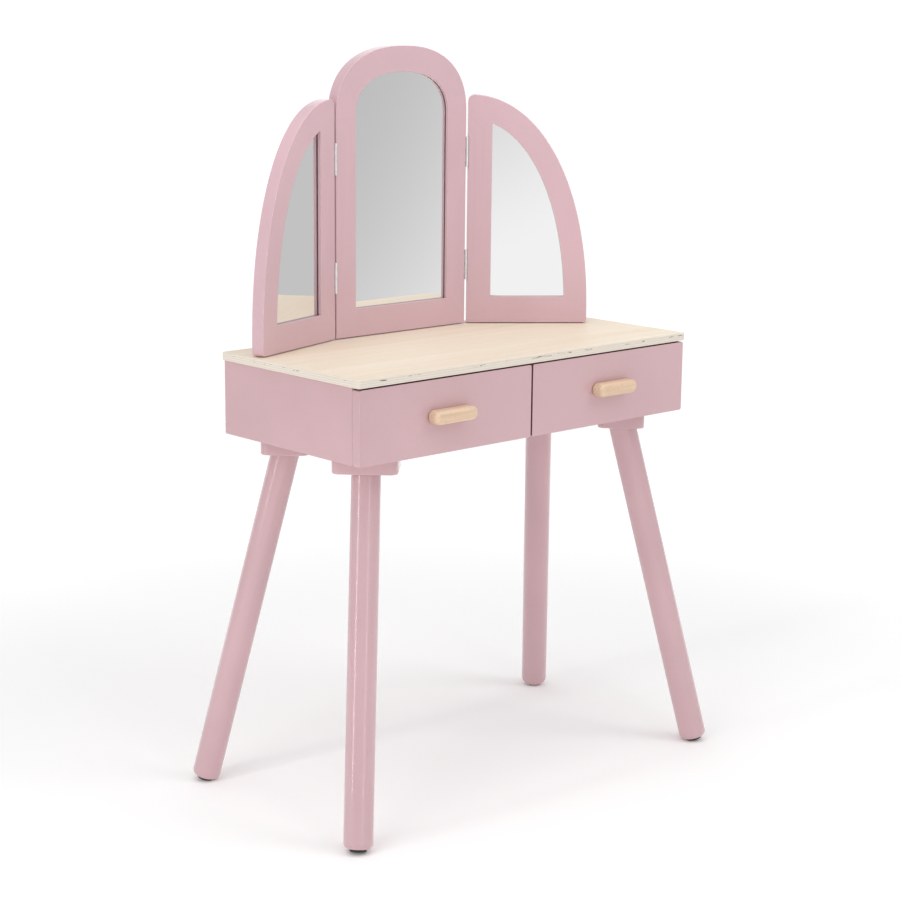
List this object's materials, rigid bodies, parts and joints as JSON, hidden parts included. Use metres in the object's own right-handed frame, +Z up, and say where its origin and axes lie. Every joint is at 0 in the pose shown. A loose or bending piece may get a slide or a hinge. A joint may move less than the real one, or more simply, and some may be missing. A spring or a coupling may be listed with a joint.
{
  "type": "child's dressing table",
  "caption": "Child's play dressing table with a plywood top, twin drawers, round splayed legs and an arched mirror between two hinged wing mirrors.",
  "frame": {"origin": "on the floor, at the centre of the four feet", "axes": "+Z up, -Y is the front where the drawers open, +X to the right of someone facing the front"},
  "size_m": [0.5642, 0.306, 0.8338],
  "materials": {
    "pink_paint": "satin dusty pink paint on wood",
    "birch_plywood": "matt clear lacquer on birch plywood",
    "beech": "matt clear lacquer on beech",
    "hardboard": "bare brown hardboard",
    "mirror_glass": "flat silvered mirror",
    "steel": "zinc plated steel",
    "black_plastic": "moulded black plastic"
  },
  "bodies": {
    "table": {"back_panel": "pink_paint", "case_bottom": "pink_paint", "centre_divider": "pink_paint", "centre_mirror_backer": "hardboard", "centre_mirror_frame": "pink_paint", "centre_mirror_pane": "mirror_glass", "foot_glide_back_left": "black_plastic", "foot_glide_back_right": "black_plastic", "foot_glide_front_left": "black_plastic", "foot_glide_front_right": "black_plastic", "left_lower_hinge_fixed_leaf": "steel", "left_lower_hinge_pin": "steel", "left_side_panel": "pink_paint", "left_upper_hinge_fixed_leaf": "steel", "left_upper_hinge_pin": "steel", "leg_back_left": "pink_paint", "leg_back_right": "pink_paint", "leg_bolt_back_left": "steel", "leg_bolt_back_right": "steel", "leg_bolt_front_left": "steel", "leg_bolt_front_right": "steel", "leg_front_left": "pink_paint", "leg_front_right": "pink_paint", "leg_pad_back_left": "pink_paint", "leg_pad_back_right": "pink_paint", "leg_pad_front_left": "pink_paint", "leg_pad_front_right": "pink_paint", "mirror_screw_left": "steel", "mirror_screw_right": "steel", "right_lower_hinge_fixed_leaf": "steel", "right_lower_hinge_pin": "steel", "right_side_panel": "pink_paint", "right_upper_hinge_fixed_leaf": "steel", "right_upper_hinge_pin": "steel", "tabletop": "birch_plywood"},
    "left_drawer": {"left_drawer_back": "birch_plywood", "left_drawer_bottom": "birch_plywood", "left_drawer_front": "pink_paint", "left_drawer_left_side": "birch_plywood", "left_drawer_right_side": "birch_plywood", "left_handle": "beech", "left_handle_screw": "steel"},
    "right_drawer": {"right_drawer_back": "birch_plywood", "right_drawer_bottom": "birch_plywood", "right_drawer_front": "pink_paint", "right_drawer_left_side": "birch_plywood", "right_drawer_right_side": "birch_plywood", "right_handle": "beech", "right_handle_screw": "steel"},
    "left_wing": {"left_lower_hinge_wing_leaf": "steel", "left_upper_hinge_wing_leaf": "steel", "left_wing_backer": "hardboard", "left_wing_frame": "pink_paint", "left_wing_pane": "mirror_glass"},
    "right_wing": {"right_lower_hinge_wing_leaf": "steel", "right_upper_hinge_wing_leaf": "steel", "right_wing_backer": "hardboard", "right_wing_frame": "pink_paint", "right_wing_pane": "mirror_glass"}
  },
  "joints": [
    {"name": "left_drawer_slide", "type": "slide", "parent": "table", "child": "left_drawer", "axis": [0, -1, 0], "range_m": [0, 0.15]},
    {"name": "right_drawer_slide", "type": "slide", "parent": "table", "child": "right_drawer", "axis": [0, -1, 0], "range_m": [0, 0.15]},
    {"name": "left_wing_hinge", "type": "hinge", "parent": "table", "child": "left_wing", "pos_m": [-0.1008, 0.1004, 0.6417], "axis": [0, 0, 1], "range_deg": [-18.3, 101.7]},
    {"name": "right_wing_hinge", "type": "hinge", "parent": "table", "child": "right_wing", "pos_m": [0.1008, 0.1004, 0.6417], "axis": [0, 0, -1], "range_deg": [-39.8, 80.2]}
  ]
}
